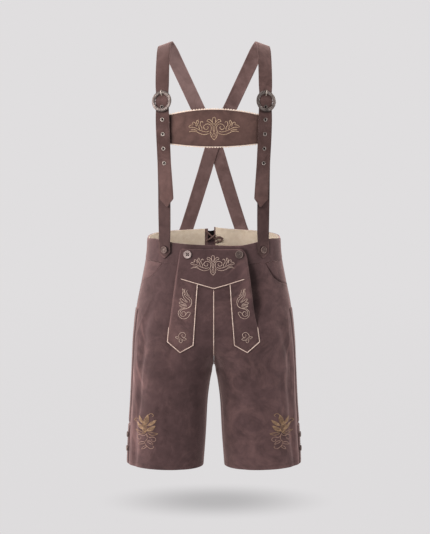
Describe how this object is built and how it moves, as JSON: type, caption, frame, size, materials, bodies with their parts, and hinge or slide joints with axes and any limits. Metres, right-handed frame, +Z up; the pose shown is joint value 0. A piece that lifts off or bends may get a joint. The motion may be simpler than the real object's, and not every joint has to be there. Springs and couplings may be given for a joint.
{
  "type": "lederhosen",
  "caption": "Knee-length brown suede breeches with a buttoned drop front, laced back waist, crossed braces with ring buckles and an embroidered chest strap.",
  "frame": {"origin": "middle of the line along which the undersides of both braces lie over the shoulders", "axes": "+Z up along the worn garment, -Y out of its front, +X towards the wearer's left side, which is on the right when it is seen from the front"},
  "size_m": [0.4238, 0.2639, 1.0188],
  "materials": {
    "suede": "brushed suede",
    "lining": "plain cotton",
    "piping": "smooth thin leather",
    "silver": "antique silver",
    "horn": "pale horn",
    "lace": "round suede lace"
  },
  "bodies": {
    "root": {"back_button_left": "silver", "back_button_right": "silver", "back_gusset": "suede", "back_left": "suede", "back_right": "suede", "brace_left": "suede", "brace_right": "suede", "buckle_left": "silver", "buckle_right": "silver", "chest_strap": "suede", "chest_trim_low": "piping", "chest_trim_top": "piping", "eyelet_left_1": "silver", "eyelet_left_2": "silver", "eyelet_left_3": "silver", "eyelet_left_4": "silver", "eyelet_left_5": "silver", "eyelet_right_1": "silver", "eyelet_right_2": "silver", "eyelet_right_3": "silver", "eyelet_right_4": "silver", "eyelet_right_5": "silver", "flap_button_left": "horn", "flap_button_right": "silver", "flap_tab_left": "suede", "flap_tab_right": "suede", "flap_yoke": "suede", "front_left": "suede", "front_right": "suede", "hem_button_left_1": "silver", "hem_button_left_2": "silver", "hem_button_right_1": "silver", "hem_button_right_2": "silver", "hem_placket_left": "suede", "hem_placket_right": "suede", "lace_bow": "lace", "lace_inner_falling": "lace", "lace_inner_rising": "lace", "lace_outer_falling": "lace", "lace_outer_rising": "lace", "lower_strap_left": "suede", "lower_strap_right": "suede", "piping_fly": "piping", "piping_tab_left": "piping", "piping_tab_right": "piping", "piping_v": "piping", "pocket_facing_left": "suede", "pocket_facing_right": "suede", "prong_left": "silver", "prong_right": "silver", "side_welt_left": "suede", "side_welt_right": "suede", "strap_button_left": "silver", "strap_button_right": "silver", "waist_lining_left": "lining", "waist_lining_right": "lining", "waistband_left": "suede", "waistband_right": "suede"}
  },
  "joints": []
}
